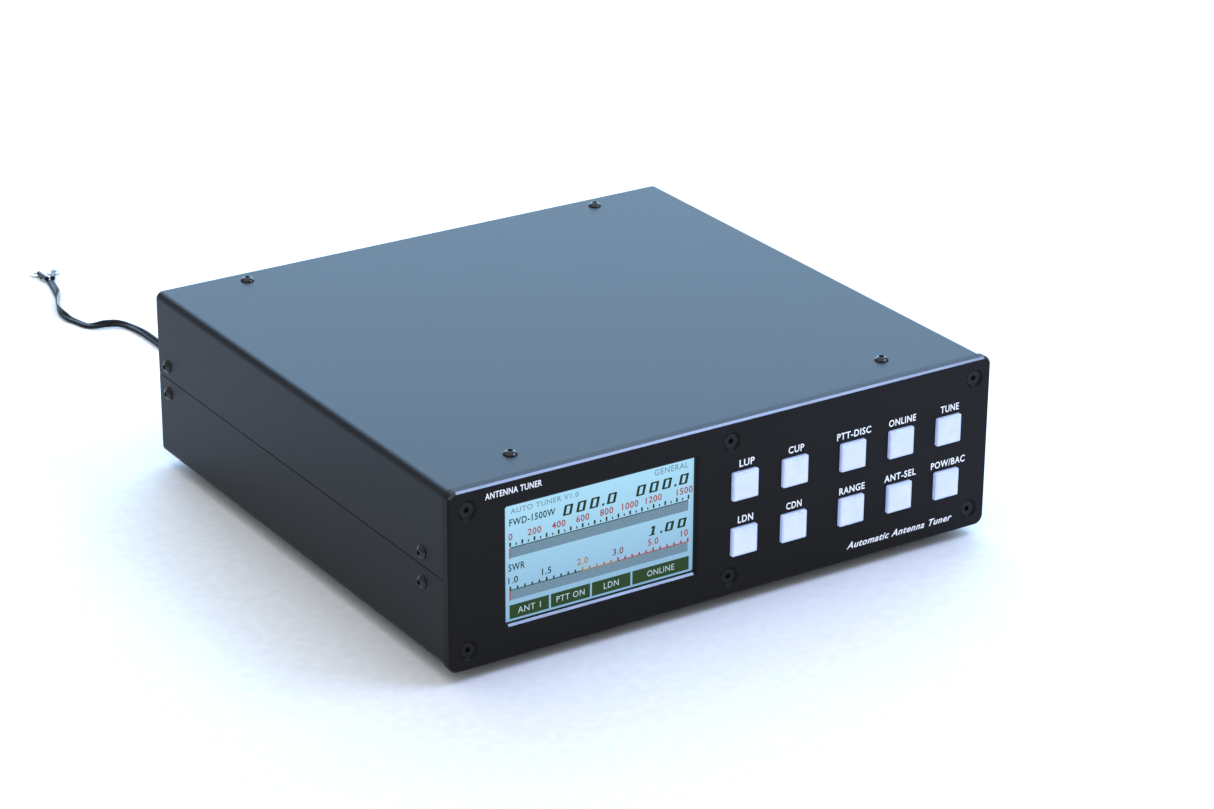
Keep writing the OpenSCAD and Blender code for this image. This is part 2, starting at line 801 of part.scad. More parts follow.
front_panel();
front_frame();
rear_frame();
rear_panel();
top_cover();
bottom_cover();
chassis_plate();
panel_screws();
rear_screws();
side_screws();
top_screws();
bottom_screws();
feet();
foot_screws();
display_frame();
display_glass();
display_backlight();
display_board();
button_board();
button_switches();
for (i = [0:9]) push_button(i);
main_board();
standoffs();
board_screws();
relays();
core_mounts();
toroid_cores();
toroid_windings();
air_coil();
capacitors();
bridge_core();
bridge_shield();
control_chip();
ribbon_cable();
rf_input_socket();
antenna_1_socket();
antenna_2_socket();
socket_insulators();
socket_contacts();
socket_screws();
phono_sockets();
ground_stud();
ground_nut();
wing_nut();
dc_jack();
dc_plug();
cord_near();
cord_coil();
cord_tie();
cord_far();
cord_terminals();
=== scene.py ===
"""Desktop automatic antenna tuner: folded steel case, bevelled front panel with a lit display, ten lit
push buttons, coaxial sockets behind, and a flat twin power lead that lies mostly in a tied coil."""

import bpy
import bmesh
import json
import math
from mathutils import Matrix, Vector


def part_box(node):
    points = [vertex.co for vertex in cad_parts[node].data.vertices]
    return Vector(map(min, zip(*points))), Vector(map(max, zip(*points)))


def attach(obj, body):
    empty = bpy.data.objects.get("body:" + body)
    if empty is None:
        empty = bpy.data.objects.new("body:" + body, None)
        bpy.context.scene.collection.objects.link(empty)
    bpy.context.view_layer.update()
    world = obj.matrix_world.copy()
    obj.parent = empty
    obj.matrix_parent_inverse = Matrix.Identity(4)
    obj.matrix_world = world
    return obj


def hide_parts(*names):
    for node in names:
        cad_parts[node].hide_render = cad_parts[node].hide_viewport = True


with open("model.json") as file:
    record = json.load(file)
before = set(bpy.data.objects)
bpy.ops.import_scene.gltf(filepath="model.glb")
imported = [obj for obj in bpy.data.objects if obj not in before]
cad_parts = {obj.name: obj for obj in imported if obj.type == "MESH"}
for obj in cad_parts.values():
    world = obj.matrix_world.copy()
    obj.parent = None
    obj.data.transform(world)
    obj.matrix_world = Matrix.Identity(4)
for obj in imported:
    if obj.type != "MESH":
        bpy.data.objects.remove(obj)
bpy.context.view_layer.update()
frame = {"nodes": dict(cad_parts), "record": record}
MM = 0.001


def size_mm(node):
    """Lowest and highest corner of a CAD node, in millimetres."""
    low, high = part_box(node)
    return low / MM, high / MM


panel_low = size_mm("front_panel")[0]
FACE_Y = panel_low.y
PANEL_Z = panel_low.z
REAR_FACE = size_mm("rear_panel")[1].y
GLASS_Y = size_mm("display_glass")[0].y

# ---- camera, floor and light ----

CAMERA_AT = Vector((-905.3, -1440.8, 780.9)) * MM
LOOKS_DOWN, TURNED, TILTED = math.radians(23.215), math.radians(33.03), math.radians(-0.3736)


def camera_axes():
    """Right, down and forward of a camera that looks along +Y, turned towards +X and pitched down."""
    forward = Vector((math.sin(TURNED) * math.cos(LOOKS_DOWN), math.cos(TURNED) * math.cos(LOOKS_DOWN),
                      -math.sin(LOOKS_DOWN)))
    right = Vector((math.cos(TURNED), -math.sin(TURNED), 0))
    down = forward.cross(right)
    turned_right = right * math.cos(TILTED) + down * math.sin(TILTED)
    turned_down = down * math.cos(TILTED) - right * math.sin(TILTED)
    return turned_right, turned_down, forward


def make_camera():
    right, down, forward = camera_axes()
    data = bpy.data.cameras.new("camera")
    data.sensor_width = 36
    data.lens = 104.62
    data.clip_start = 0.05
    data.clip_end = 50
    camera = bpy.data.objects.new("camera", data)
    bpy.context.scene.collection.objects.link(camera)
    turn = Matrix((right, -down, -forward)).transposed().to_4x4()
    camera.matrix_world = Matrix.Translation(CAMERA_AT) @ turn
    bpy.context.scene.camera = camera


make_camera()


# ---- small helpers ----

def linear(hex_colour):
    """An sRGB hex colour as linear RGBA."""
    parts = [int(hex_colour[i:i + 2], 16) / 255 for i in (1, 3, 5)]
    return [c / 12.92 if c <= 0.04045 else ((c + 0.055) / 1.055) ** 2.4 for c in parts] + [1.0]


def add(tree, kind, inputs=None, **settings):
    """One node with its settings; an input is a value, or a socket to link from."""
    node = tree.nodes.new(kind)
    for name, value in settings.items():
        setattr(node, name, value)
    for name, value in (inputs or {}).items():
        if isinstance(value, bpy.types.NodeSocket):
            tree.links.new(value, node.inputs[name])
        else:
            node.inputs[name].default_value = value
    return node


def surface(name, colour, **values):
    """A material, its tree, its shader and the object coordinates in millimetres."""
    material = bpy.data.materials.new(name)
    material.use_nodes = True
    tree = material.node_tree
    shader = tree.nodes["Principled BSDF"]
    shader.inputs["Base Color"].default_value = linear(colour)
    for key, value in values.items():
        shader.inputs[key.replace("_", " ")].default_value = value
    place = add(tree, "ShaderNodeTexCoord")
    in_mm = add(tree, "ShaderNodeVectorMath", {0: place.outputs["Object"], 1: (1000, 1000, 1000)},
                operation="MULTIPLY")
    return material, tree, shader, in_mm.outputs[0]


def spots(tree, place, spot_mm, detail, edges, colours):
    """Noise in spots of spot_mm, and a colour that runs between two as the noise passes the edges."""
    noise = add(tree, "ShaderNodeTexNoise", {"Vector": place, "Scale": 1 / spot_mm, "Detail": detail})
    ramp = add(tree, "ShaderNodeValToRGB", {"Fac": noise.outputs["Fac"]})
    for element, edge, colour in zip(ramp.color_ramp.elements, edges, colours):
        element.position = edge
        element.color = linear(colour)
    return noise.outputs["Fac"], ramp.outputs["Color"]


def grain(tree, shader, place, spot_mm, dark, light, depth_mm, rough=None, stretch=(1, 1, 1)):
    """Uneven colour, gloss and relief in spots of spot_mm; stretch lengthens them, as brushing does."""
    stretched = add(tree, "ShaderNodeVectorMath", {0: place, 1: stretch}, operation="MULTIPLY").outputs[0]
    noise, colour = spots(tree, stretched, spot_mm, 3.0, (0.35, 0.65), (dark, light))
    tree.links.new(colour, shader.inputs["Base Color"])
    bump = add(tree, "ShaderNodeBump", {"Height": noise, "Distance": depth_mm * MM})
    tree.links.new(bump.outputs["Normal"], shader.inputs["Normal"])
    if rough:
        gloss = add(tree, "ShaderNodeMapRange", {"Value": noise, "From Min": 0.3, "From Max": 0.7,
                                                 "To Min": rough[0], "To Max": rough[1]})
        tree.links.new(gloss.outputs["Result"], shader.inputs["Roughness"])


def mesh_piece(name, points, faces, material, smooth_over=None):
    """A mesh at the origin from points in millimetres; edges sharper than smooth_over stay sharp."""
    mesh = bpy.data.meshes.new(name)
    mesh.from_pydata([Vector(p) * MM for p in points], [], faces)
    mesh.materials.append(material)
    piece = bpy.data.objects.new(name, mesh)
    bpy.context.scene.collection.objects.link(piece)
    if smooth_over:
        smooth(mesh, smooth_over)
    return piece


def smooth(mesh, angle):
    """Smooth shading, with edges sharper than angle degrees kept sharp."""
    mesh.shade_smooth()
    mesh.set_sharp_from_angle(angle=math.radians(angle))


def ride_as(piece, body, slot, *replaced):
    """Attaches a finished piece to its body, and hides the CAD nodes that it replaces."""
    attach(piece, body)
    if replaced:
        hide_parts(*replaced)


def plain_mesh(piece):
    """Applies what the piece's modifiers make, and removes them."""
    bpy.context.view_layer.update()
    shown = piece.evaluated_get(bpy.context.evaluated_depsgraph_get())
    mesh = bpy.data.meshes.new_from_object(shown)
    piece.modifiers.clear()
    old = piece.data
    piece.data = mesh
    bpy.data.meshes.remove(old)


SLOTS = {part["node"]: part["material_slot"] for part in frame["record"]["subparts"]}


def finer(name, node, material, edge_mm, body="case", shape=None, sharp=35, merged=True):
    """A welded copy of a CAD node with its edges broken by edge_mm and its curves shaded smooth.

    The triangles of each flat face become one face, unless merged is false: a ring round a bore
    that is one face can fill in when its edges are broken."""
    mesh = frame["nodes"][node].data.copy()
    mesh.name = name
    form = bmesh.new()
    form.from_mesh(mesh)
    bmesh.ops.remove_doubles(form, verts=form.verts, dist=1e-6)
    if shape:
        shape(form)
    if merged:
        flat = math.radians(0.5)
        bmesh.ops.dissolve_limit(form, angle_limit=flat, verts=form.verts, edges=form.edges)
    form.to_mesh(mesh)
    form.free()
    mesh.materials.clear()
    mesh.materials.append(material)
    smooth(mesh, sharp)
    piece = bpy.data.objects.new(name, mesh)
    bpy.context.scene.collection.objects.link(piece)
    if edge_mm:
        bevel = piece.modifiers.new("edges", "BEVEL")
        bevel.width = edge_mm * MM
        bevel.segments = 2
        bevel.limit_method = "ANGLE"
        bevel.angle_limit = math.radians(sharp)
        shading = piece.modifiers.new("shading", "WEIGHTED_NORMAL")
        shading.keep_sharp = True
        plain_mesh(piece)
    ride_as(piece, body, SLOTS[node], node)
    return piece


# ---- the power lead ----

LEAD_W, LEAD_T = 4.4, 2.0
COIL_AT, COIL_R, COIL_TURNS, COIL_PITCH = (-60, 242), 25, 8, 2.4
TURNS_INWARDS, LAYER_HEIGHT = 3, 4.6
TABLE_GAP = 0.12
NEAR_ROUTE = [(-105, 184, 26), (-105, 189, 26), (-105, 197, 24), (-105, 204, 19.5), (-103, 211, 13.5),
              (-99, 219, 7.5), (-94, 226, 3.6), (-90, 234, 2.4), (-88.5, 242, 2.2)]
FAR_ROUTE = [(-88.5, 242, 6.8), (-88.5, 250, 6.6), (-88, 258, 5.4), (-88, 267, 3.8), (-88, 277, 2.6),
             (-88, 288, 2.2), (-88, 300, 2.2), (-88, 312, 2.2), (-88.5, 321, 2.2), (-90, 330, 2.2),
             (-94, 336, 2.2), (-100, 339, 2.2), (-106, 341, 2.2), (-110.5, 346, 2.2), (-112.5, 353, 2.2),
             (-115, 361, 2.2), (-115.5, 369, 2.2), (-113.5, 378, 2.2), (-109.5, 388, 2.2),
             (-105, 398, 2.2), (-101.5, 409, 2.2), (-98, 424, 2.2)]
# How far the flat lead is turned onto its edge at each point of the route, in degrees
NEAR_TWIST = [0, 0, 0, 0, 10, 30, 60, 85, 90]
FAR_TWIST = [90, 90, 80, 65, 50, 40, 40, 35, 25, 15, 40, 70, 30, 0, 0, 15, 60, 90, 90, 50, 10, 0]


def curve_at(p, i, t):
    """A point of the smooth curve through the rows of p, between row i and the next."""
    a, b, c, d = (p[max(i - 1, 0)], p[i], p[i + 1], p[min(i + 2, len(p) - 1)])
    return tuple(0.5 * (2 * b[k] + t * (c[k] - a[k]) + t * t * (2 * a[k] - 5 * b[k] + 4 * c[k] - d[k])
                        + t ** 3 * (3 * b[k] - a[k] - 3 * c[k] + d[k])) for k in range(len(b)))


def smooth_rows(p, steps):
    return [curve_at(p, i, s / steps) for i in range(len(p) - 1) for s in range(steps)] + [tuple(p[-1])]


def coil_rows():
    """The coil's turns: in from the outside on the lower layer, and out again on the upper one."""
    rows = []
    steps = COIL_TURNS * 40
    outer = COIL_R + 1.5 * COIL_PITCH
    for i in range(1, steps):
        turn = i / steps * COIL_TURNS
        angle = math.pi - turn * math.tau
        still_inside = max(COIL_TURNS - 1 - turn, 0)
        ring = outer - COIL_PITCH * min(turn, TURNS_INWARDS, still_inside)
        height = NEAR_ROUTE[-1][2] + LAYER_HEIGHT * min(max(turn - TURNS_INWARDS, 0), 1)
        x, y = COIL_AT[0] + ring * math.cos(angle), COIL_AT[1] + ring * math.sin(angle)
        rows.append((x, y, height, 90))
    return rows


def lying(row):
    """Where the lead touches the table, its middle is lower when it lies flat than on its edge."""
    x, y, z, twist = row
    half = (LEAD_W * abs(math.sin(math.radians(twist))) + LEAD_T * math.cos(math.radians(twist))) / 2
    touching = z < LEAD_W / 2 + 0.05
    return (x, y, (half if touching else max(z, half)) + TABLE_GAP, twist)


def sweep(rows, outline):
    """Points and faces of an outline swept along rows of x, y, z and twist, closed at both ends."""
    points, faces = [], []
    n = len(outline)
    for i, row in enumerate(rows):
        here = Vector(row[:3])
        before, after = rows[max(i - 1, 0)], rows[min(i + 1, len(rows) - 1)]
        ahead = (Vector(after[:3]) - Vector(before[:3])).normalized()
        side = ahead.cross(Vector((0, 0, 1))).normalized()
        top = side.cross(ahead)
        turn = math.radians(row[3])
        wide = side * math.cos(turn) + top * math.sin(turn)
        thin = top * math.cos(turn) - side * math.sin(turn)
        points += [here + wide * u + thin * v for u, v in outline]
        if i:
            a, b = (i - 1) * n, i * n
            faces += [(a + k, b + k, b + (k + 1) % n, a + (k + 1) % n) for k in range(n)]
    faces.append(tuple(range(n)))
    faces.append(tuple(len(points) - 1 - k for k in range(n)))
    return points, faces


def twin_outline():
    """Two round cores side by side, joined by a narrow web."""
    core = LEAD_T / 2
    middle = LEAD_W / 2 - core
    right = [(middle + core * math.cos(a), core * math.sin(a))
             for a in (math.radians(d) for d in range(-135, 136, 30))]
    return right + [(-u, -v) for u, v in right]


# ---- finishes ----

def powder_coat(name, dark, light):
    """Satin polyester powder coat on folded steel: a fine, even orange peel softens every reflection."""
    material, tree, shader, mm = surface(name, dark, IOR=1.5, Specular_IOR_Level=0.1)
    grain(tree, shader, mm, 1.1, dark, light, 0.012, rough=(0.34, 0.42))
    return material


def anodised_panel():
    """Black anodised aluminium plate, bead blasted first: deep matt black with a fine, even grain.

    The blasted dimples are about 0.1 mm across, and are drawn 0.6 mm across so that they show."""
    material, tree, shader, mm = surface("black_anodised_aluminium", "#141312", IOR=1.5,
                                         Specular_IOR_Level=0.12)
    grain(tree, shader, mm, 0.6, "#121110", "#171514", 0.006, rough=(0.42, 0.52))
    return material


def milled_aluminium():
    """Mill finish aluminium, with the rolling marks along X."""
    material, tree, shader, mm = surface("mill_finish_aluminium", "#b9bbbd", Metallic=1.0)
    grain(tree, shader, mm, 0.8, "#a9abad", "#c6c8ca", 0.004, rough=(0.28, 0.42), stretch=(0.05, 1, 1))
    return material


def blackened_steel(name, ior, rough):
    """Black oxide on steel screws: near black and oily, with a highlight on its round edges."""
    material, tree, shader, mm = surface(name, "#0e0e0f", IOR=ior)
    grain(tree, shader, mm, 0.4, "#0b0b0c", "#161617", 0.004, rough=rough)
    return material


def plated(name, dark, light, rough):
    """Electroplated metal over turned brass or steel: bright, with faint stains."""
    material, tree, shader, mm = surface(name, light, Metallic=1.0)
    grain(tree, shader, mm, 2.5, dark, light, 0.003, rough=rough)
    return material


def moulded(name, dark, light, rough=(0.4, 0.5), depth=0.01, spot=0.5):
    """Injection moulded plastic, spark eroded to a matt texture, drawn coarser than real to show."""
    material, tree, shader, mm = surface(name, dark, IOR=1.49)
    grain(tree, shader, mm, spot, dark, light, depth, rough=rough)
    return material


def foot_rubber():
    """Black rubber, matt, with dust in its pores."""
    material, tree, shader, mm = surface("foot_rubber", "#17171a", IOR=1.52, Specular_IOR_Level=0.3)
    grain(tree, shader, mm, 0.7, "#121214", "#232326", 0.03, rough=(0.7, 0.85))
    return material


def circuit_board():
    """Green solder mask over copper tracks, which stand up as fine parallel lines 1.27 mm apart."""
    material, tree, shader, mm = surface("circuit_board_green", "#1f5a36", IOR=1.5, Coat_Weight=0.3)
    tracks = add(tree, "ShaderNodeTexBrick", {"Vector": mm, "Scale": 1.0, "Brick Width": 12.7,
                                              "Row Height": 1.27, "Mortar Size": 0.16,
                                              "Color1": linear("#23663d"), "Color2": linear("#2b7346"),
                                              "Mortar": linear("#184a2b")})
    tree.links.new(tracks.outputs["Color"], shader.inputs["Base Color"])
    bump = add(tree, "ShaderNodeBump", {"Height": tracks.outputs["Fac"], "Distance": 0.035 * MM},
               invert=True)
    tree.links.new(bump.outputs["Normal"], shader.inputs["Normal"])
    return material


def ribbon():
    """Grey ribbon cable: cores 1.27 mm apart show as rounded ridges."""
    material, tree, shader, mm = surface("ribbon_cable_pvc", "#9da1a5", Roughness=0.5)
    grain(tree, shader, mm, 3.0, "#92969a", "#a8acb0", 0.02)
    core_mm = 1.27
    # The wave texture repeats every tau / 20 at a scale of 1
    ridges = add(tree, "ShaderNodeTexWave", {"Vector": mm, "Scale": math.tau / core_mm / 20,
                                             "Distortion": 0.0}, bands_direction="X")
    bump = add(tree, "ShaderNodeBump", {"Height": ridges.outputs["Fac"], "Distance": 0.3 * MM})
    tree.links.new(bump.outputs["Normal"], shader.inputs["Normal"])
    return material


def lit(name, dark, light, strength, spot_mm, base="#0a0c0c", gloss=0.35):
    """Something that glows behind a clear front, a little brighter and darker in spots of spot_mm."""
    material, tree, shader, mm = surface(name, base, Roughness=gloss, Emission_Strength=strength,
                                         Specular_IOR_Level=0.12)
    glow = spots(tree, mm, spot_mm, 1.0, (0.3, 0.7), (dark, light))[1]
    tree.links.new(glow, shader.inputs["Emission Color"])
    return material


def screen_light():
    """The display's light blue field, brightest at its top, where the light guide is fed."""
    material, tree, shader, mm = surface("display_backlit_field", "#0b0e10", Roughness=0.3,
                                         Emission_Strength=1.0)
    parts = add(tree, "ShaderNodeSeparateXYZ", {"Vector": mm})
    fall = add(tree, "ShaderNodeMapRange", {"Value": parts.outputs["Z"], "From Min": PANEL_Z + 20,
                                            "From Max": PANEL_Z + 80, "To Min": 0.0, "To Max": 1.0})
    ramp = add(tree, "ShaderNodeValToRGB", {"Fac": fall.outputs["Result"]})
    ramp.color_ramp.elements[0].color = linear("#86b3d4")
    ramp.color_ramp.elements[1].color = linear("#a8def8")
    # The picture's dots, which stand 0.23 mm apart on a screen of this size and kind
    dot_mm = 0.23
    flat = add(tree, "ShaderNodeCombineXYZ", {"X": parts.outputs["X"], "Y": parts.outputs["Z"]})
    dots = add(tree, "ShaderNodeTexBrick", {"Vector": flat.outputs["Vector"], "Scale": 1.0,
                                            "Brick Width": dot_mm, "Row Height": dot_mm,
                                            "Mortar Size": 0.012, "Mortar": (0.85, 0.85, 0.85, 1),
                                            "Color1": (1, 1, 1, 1), "Color2": (0.97, 0.97, 0.97, 1)},
               offset=0.0)
    both = add(tree, "ShaderNodeMix", {6: ramp.outputs["Color"], 7: dots.outputs["Color"], 0: 1.0},
               data_type="RGBA", blend_type="MULTIPLY")
    tree.links.new(both.outputs[2], shader.inputs["Emission Color"])
    return material


def white_print():
    """White screen print: a thin, slightly uneven layer of epoxy ink, with a faint painted glow that
    makes it lighter than the lamps alone would.
    """
    # The emission is a painted glow: the print shines faintly of itself, though it is no lamp
    material, tree, shader, mm = surface("white_screen_print_painted_glow", "#e9ebee", Roughness=0.5,
                                         Emission_Color=linear("#e9ebee"), Emission_Strength=0.18)
    grain(tree, shader, mm, 0.5, "#dfe2e6", "#f4f6f8", 0.01, rough=(0.45, 0.6))
    return material


def cap_edge():
    """Clear acrylic round a lit diffuser: it glows lavender from inside and glints on its edges."""
    material, tree, shader, mm = surface("clear_acrylic_edge", "#c9d3ea", IOR=1.49, Roughness=0.12,
                                         Emission_Strength=0.34, Transmission_Weight=0.25)
    glow = spots(tree, mm, 5.0, 1.0, (0.35, 0.6), ("#8c9cc8", "#a6b6de"))[1]
    tree.links.new(glow, shader.inputs["Emission Color"])
    return material


def lead_pvc(name, dark, light):
    """Soft PVC insulation: satin, with the faint lengthwise waver of extrusion."""
    material, tree, shader, mm = surface(name, dark, IOR=1.5, Specular_IOR_Level=0.2)
    grain(tree, shader, mm, 1.8, dark, light, 0.02, rough=(0.42, 0.55))
    return material


FINISHES = {
    "panel_anodised": anodised_panel(),
    "frame_aluminium": milled_aluminium(),
    "case_paint": powder_coat("slate_powder_coat", "#1b1d20", "#1f2125"),
    "black_steel": blackened_steel("black_oxide_steel", 1.45, (0.13, 0.2)),
    "foot_rubber": foot_rubber(),
    "plated_steel": plated("zinc_plated_steel", "#b2b4b2", "#cfd1cd", (0.2, 0.34)),
    "display_screen": screen_light(),
    "white_plastic": moulded("white_ptfe", "#e6e5de", "#f2f1ea", depth=0.004),
    "circuit_board": circuit_board(),
    "black_plastic": moulded("black_abs", "#161617", "#1f1f21"),
    "button_clear": cap_edge(),
    "brass": plated("turned_brass", "#b3964a", "#d0b463", (0.2, 0.35)),
    "relay_plastic": moulded("blue_relay_pbt", "#2a4867", "#35567a"),
    "core_iron": moulded("red_core_enamel", "#9c3226", "#b04032", rough=(0.3, 0.45)),
    "copper_wire": plated("enamelled_copper", "#a4602f", "#c9814a", (0.16, 0.26)),
    "capacitor_epoxy": moulded("orange_dipped_epoxy", "#b9601a", "#cc7428", rough=(0.15, 0.25), spot=2.0),
    "ribbon_pvc": ribbon(),
    "nickel": plated("nickel_plated_brass", "#b3b1a8", "#cfcdc6", (0.14, 0.26)),
    "contact_gold": plated("gold_plated_brass", "#c79f42", "#e2bf62", (0.14, 0.24)),
    "cord_pvc": lead_pvc("black_lead_pvc", "#101013", "#1a1a1e"),
    "tie_plastic": moulded("black_nylon_tie", "#141416", "#1e1e20"),
    "terminal_metal": plated("tinned_copper", "#b4b4ae", "#d2d2cc", (0.22, 0.36)),
}
for node, shown in frame["nodes"].items():
    shown.data.materials.clear()
    shown.data.materials.append(FINISHES[SLOTS[node]])


# ---- the lead and what is on it ----

def twisted(route, twists):
    return [point + (twist,) for point, twist in zip(route, twists)]


def power_lead():
    """One flat twin lead from the plug through the coil to the terminals, one core with a pale line."""
    rows = smooth_rows(twisted(NEAR_ROUTE, NEAR_TWIST), 7) + coil_rows()
    rows = [lying(row) for row in rows + smooth_rows(twisted(FAR_ROUTE, FAR_TWIST), 9)]
    outline = twin_outline()
    points, faces = sweep(rows, outline)
    lead = mesh_piece("power_lead", points, faces, FINISHES["cord_pvc"], smooth_over=60)
    lead.data.materials.append(lead_pvc("pale_lead_stripe", "#8d8688", "#a49b9c"))
    striped = (3, 4)
    for i, face in enumerate(lead.data.polygons):
        if i < (len(rows) - 1) * len(outline) and i % len(outline) in striped:
            face.material_index = 1
    ride_as(lead, "case", "cord_pvc", "cord_near", "cord_coil", "cord_far")
    return lead, [Vector(row[:3]) * MM for row in rows]


power_lead_piece, lead_path = power_lead()


# ---- room ----

def floor():
    """A plain pale tabletop that runs out of view."""
    material, tree, shader, mm = surface("pale_matt_table", "#f2f3f4", Roughness=0.8,
                                         Specular_IOR_Level=0.2)
    grain(tree, shader, mm, 6.0, "#eeeff1", "#f4f5f6", 0.02)
    reach = 6000
    corners = [(-reach, -reach, 0), (reach, -reach, 0), (reach, reach, 0), (-reach, reach, 0)]
    mesh_piece("table", corners, [(0, 1, 2, 3)], material)


def soft_light(name, direction, distance, width, height, watts, colour):
    """A rectangular soft box seen in that direction from the tuner's middle, facing it."""
    data = bpy.data.lights.new(name, "AREA")
    data.shape = "RECTANGLE"
    data.size = width
    data.size_y = height
    data.energy = watts
    data.color = linear(colour)[:3]
    light = bpy.data.objects.new(name, data)
    towards = Vector(direction).normalized()
    middle = Vector((0, 0, 0.05))
    light.location = middle + towards * distance
    light.rotation_euler = (-towards).to_track_quat("-Z", "Y").to_euler()
    bpy.context.scene.collection.objects.link(light)


def lights():
    # Behind and to the right: its soft reflection is what makes the cover's top bright and blue
    soft_light("window_behind", (0.48, 0.74, 0.50), 2.6, 3.4, 2.0, 160, "#93bde3")
    # Above and in front: it picks out the bevels that face up
    soft_light("overhead_front", (0.5, -0.38, 0.76), 2.2, 1.0, 0.7, 26, "#aec8ff")
    soft_light("overhead", (-0.1, 0.1, 1.0), 2.4, 2.5, 2.5, 20, "#ffffff")
    world = bpy.data.worlds.new("room")
    world.use_nodes = True
    world.node_tree.nodes["Background"].inputs["Color"].default_value = linear("#eef1f6")
    world.node_tree.nodes["Background"].inputs["Strength"].default_value = 0.75
    bpy.context.scene.world = world
    bpy.context.scene.view_settings.view_transform = "Standard"


floor()
lights()


# ---- repeated shapes ----

def copies_tree():
    """Geometry nodes: copies of an item along a step, and rows of them along another, made real."""
    tree = bpy.data.node_groups.new("rows_of_copies", "GeometryNodeTree")
    inputs = (("Item", "NodeSocketObject"), ("Finish", "NodeSocketMaterial"),
              ("Start", "NodeSocketVector"), ("Step", "NodeSocketVector"), ("Count", "NodeSocketInt"),
              ("Row Step", "NodeSocketVector"), ("Rows", "NodeSocketInt"))
    for name, kind in inputs:
        tree.interface.new_socket(name=name, in_out="INPUT", socket_type=kind)
    tree.interface.new_socket(name="Geometry", in_out="OUTPUT", socket_type="NodeSocketGeometry")
    given = add(tree, "NodeGroupInput").outputs
    rows = add(tree, "GeometryNodeMeshLine", {"Count": given["Rows"], "Start Location": given["Start"],
                                              "Offset": given["Row Step"]})
    line = add(tree, "GeometryNodeMeshLine", {"Count": given["Count"], "Offset": given["Step"]})
    lines = add(tree, "GeometryNodeInstanceOnPoints", {"Points": rows.outputs["Mesh"],
                                                       "Instance": line.outputs["Mesh"]})
    places = add(tree, "GeometryNodeRealizeInstances", {"Geometry": lines.outputs["Instances"]})
    item = add(tree, "GeometryNodeObjectInfo", {"Object": given["Item"]})
    copies = add(tree, "GeometryNodeInstanceOnPoints", {"Points": places.outputs["Geometry"],
                                                        "Instance": item.outputs["Geometry"]})
    real = add(tree, "GeometryNodeRealizeInstances", {"Geometry": copies.outputs["Instances"]})
    painted = add(tree, "GeometryNodeSetMaterial", {"Geometry": real.outputs["Geometry"],
                                                    "Material": given["Finish"]})
    add(tree, "NodeGroupOutput", {"Geometry": painted.outputs["Geometry"]})
    return tree


COPIES = copies_tree()


def copies(name, item, finish, start, step, count, row_step=(0, 0, 0), rows=1):
    """Copies of an item piece, as one mesh; places and steps are in millimetres."""
    piece = bpy.data.objects.new(name, bpy.data.meshes.new(name))
    bpy.context.scene.collection.objects.link(piece)
    modifier = piece.modifiers.new("rows_of_copies", "NODES")
    modifier.node_group = COPIES
    socket = {s.name: s.identifier for s in COPIES.interface.items_tree if s.in_out == "INPUT"}
    modifier[socket["Item"]] = item
    modifier[socket["Finish"]] = finish
    modifier[socket["Start"]] = Vector(start) * MM
    modifier[socket["Step"]] = Vector(step) * MM
    modifier[socket["Count"]] = count
    modifier[socket["Row Step"]] = Vector(row_step) * MM
    modifier[socket["Rows"]] = rows
    plain_mesh(piece)
    bpy.data.objects.remove(item)
    return piece


def joined(name, pieces):
    """Several pieces as one, keeping their materials."""
    form = bmesh.new()
    materials = []
    for piece in pieces:
        start = len(form.faces)
        form.from_mesh(piece.data)
        form.faces.ensure_lookup_table()
        for face in form.faces[start:]:
            face.material_index += len(materials)
        materials += list(piece.data.materials)
        bpy.data.objects.remove(piece)
    mesh = bpy.data.meshes.new(name)
    form.to_mesh(mesh)
    form.free()
    for material in materials:
        mesh.materials.append(material)
    whole = bpy.data.objects.new(name, mesh)
    bpy.context.scene.collection.objects.link(whole)
    return whole


def turned_ring(profile, segments):
    """Points and faces of a closed outline of (y, radius) corners, turned about the Y axis."""
    points, faces = [], []
    for i, (y, radius) in enumerate(profile):
        for k in range(segments):
            angle = math.tau * k / segments
            points.append((radius * math.cos(angle), y, radius * math.sin(angle)))
        a, b = i * segments, (i + 1) % len(profile) * segments
        ahead = [(k + 1) % segments for k in range(segments)]
        faces += [(a + k, a + ahead[k], b + ahead[k], b + k) for k in range(segments)]
    return points, faces


# ---- case ----

PANEL = FINISHES["panel_anodised"]


def cut_bevel():
    """Black anodising on a bevel milled after blasting: smoother than the face and a little lighter, so
    it catches light. It is given only to bevels that face up, so its lighter colour is a painted
    highlight.
    """
    material, tree, shader, mm = surface("black_anodised_bevel_painted_highlight", "#1a1a1c", IOR=1.75)
    grain(tree, shader, mm, 2.0, "#17171a", "#202024", 0.002, rough=(0.16, 0.24), stretch=(0.2, 1, 1))
    return material


def front_plate():
    """The front panel; its bevels that face up get the lighter bevel finish as a painted highlight, and
    the countersinks' slopes are small and low, and keep the face's finish.
    """
    plate = finer("front_panel_plate", "front_panel", PANEL, 0.12)
    plate.data.materials.append(cut_bevel())
    large, top_edge = 2 * MM * MM, (PANEL_Z + 89) * MM
    # Bevels facing up get the lighter, glossier copy of the panel black: a painted highlight where the
    # overhead light falls
    for face in plate.data.polygons:
        slopes_up = -0.85 < face.normal.y < -0.5 and face.normal.z > 0.3
        if slopes_up and (face.area > large or face.center.z > top_edge):
            face.material_index = 1


front_plate()
finer("rear_panel_plate", "rear_panel", PANEL, 0.3)
finer("top_cover_shell", "top_cover", FINISHES["case_paint"], 0.3)
finer("bottom_cover_shell", "bottom_cover", FINISHES["case_paint"], 0.3)


HEAD_RADIUS, HEAD_HEIGHT = 3.7, 2.2
HEAD_BALL = 1.25 * HEAD_RADIUS
FULLNESS = 2.8


